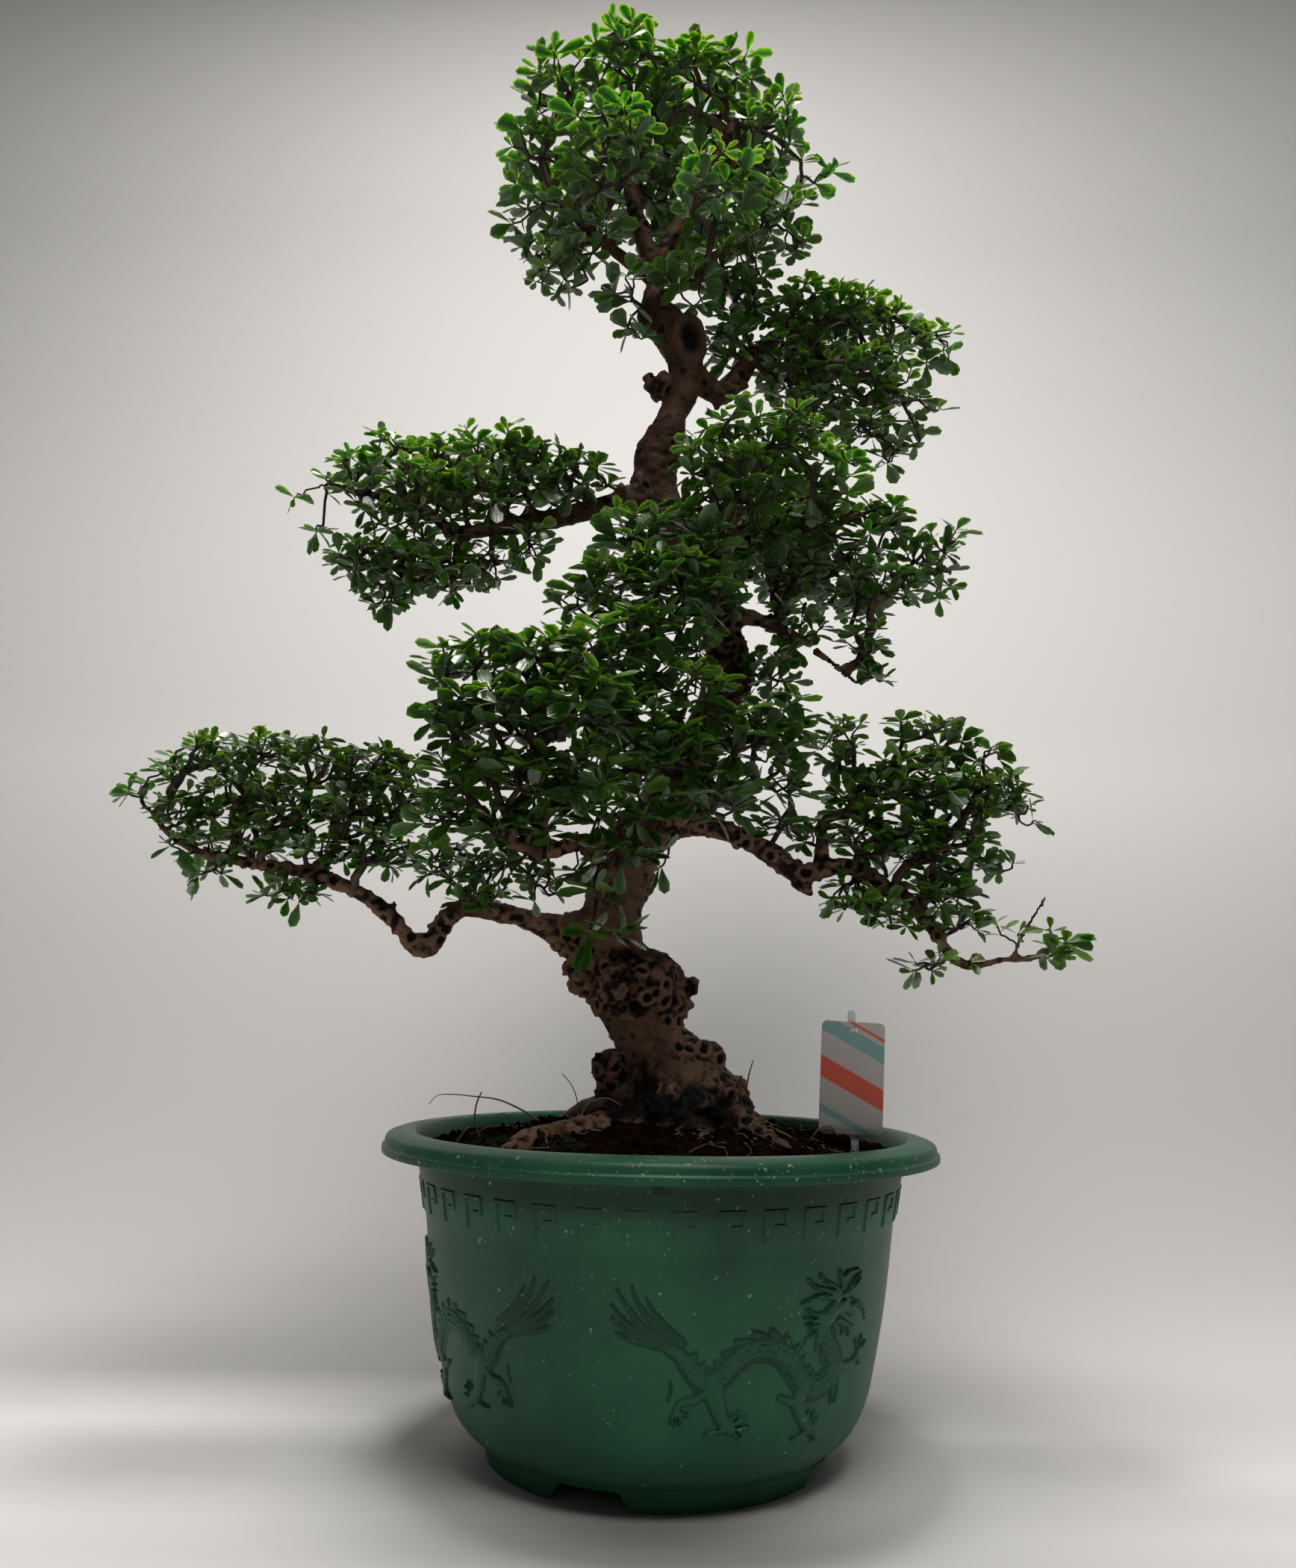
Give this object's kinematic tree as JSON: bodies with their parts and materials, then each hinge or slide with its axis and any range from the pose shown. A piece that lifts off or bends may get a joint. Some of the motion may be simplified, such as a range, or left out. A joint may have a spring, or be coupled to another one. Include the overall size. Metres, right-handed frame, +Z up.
{
  "type": "fukien tea bonsai",
  "caption": "Fukien tea bonsai with a winding trunk and leafy pads, growing in soil in a round green plastic pot, with a plant label.",
  "frame": {"origin": "middle of the bounding box at the height of the pot's foot", "axes": "+Z up along the pot's axis, -Y towards the front, +X to the viewer's right"},
  "size_m": [0.7188, 0.4, 1.1606],
  "materials": {
    "pot": "satin",
    "soil": "matte",
    "bark": "matte",
    "leaf": "satin",
    "young_leaf": "satin",
    "card": "satin",
    "stake": "satin"
  },
  "bodies": {
    "root": {"pot": "pot", "soil": "soil", "trunk": "bark", "label_card": "card", "label_stake": "stake", "leaves_crown": "young_leaf", "leaves_upper_right": "leaf", "leaves_right_front": "young_leaf", "leaves_right_middle": "leaf", "leaves_upper_left": "leaf", "leaves_upper_left_low": "leaf", "leaves_middle": "leaf", "leaves_middle_top": "leaf", "leaves_trunk_front": "young_leaf", "leaves_lower_left": "leaf", "leaves_lower_right": "leaf", "leaves_lower_right_tip": "young_leaf", "leaves_lower_right_low": "leaf", "leaves_trunk_low": "leaf", "leaves_back_upper": "leaf", "leaves_back_lower": "leaf"}
  },
  "joints": []
}
